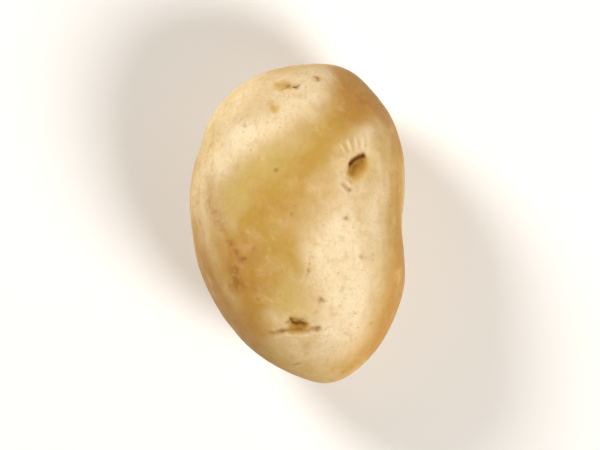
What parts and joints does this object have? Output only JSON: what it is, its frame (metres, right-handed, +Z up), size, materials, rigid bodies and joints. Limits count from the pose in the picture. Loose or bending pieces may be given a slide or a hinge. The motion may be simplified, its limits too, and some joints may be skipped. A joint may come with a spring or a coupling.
{
  "type": "potato",
  "caption": "Whole unpeeled table potato with shallow eyes and thin tan skin, resting on a small flat spot on its underside.",
  "frame": {"origin": "middle of the outline seen from above, on the surface it rests on", "axes": "+X along the length toward the blunter bud end, +Y across the width, +Z up through the thinnest direction"},
  "size_m": [0.088, 0.0598, 0.0502],
  "materials": {
    "skin": "thin dry matt skin, faintly netted, light tan; brown in the eyes"
  },
  "bodies": {
    "root": {"potato": "skin"}
  },
  "joints": []
}
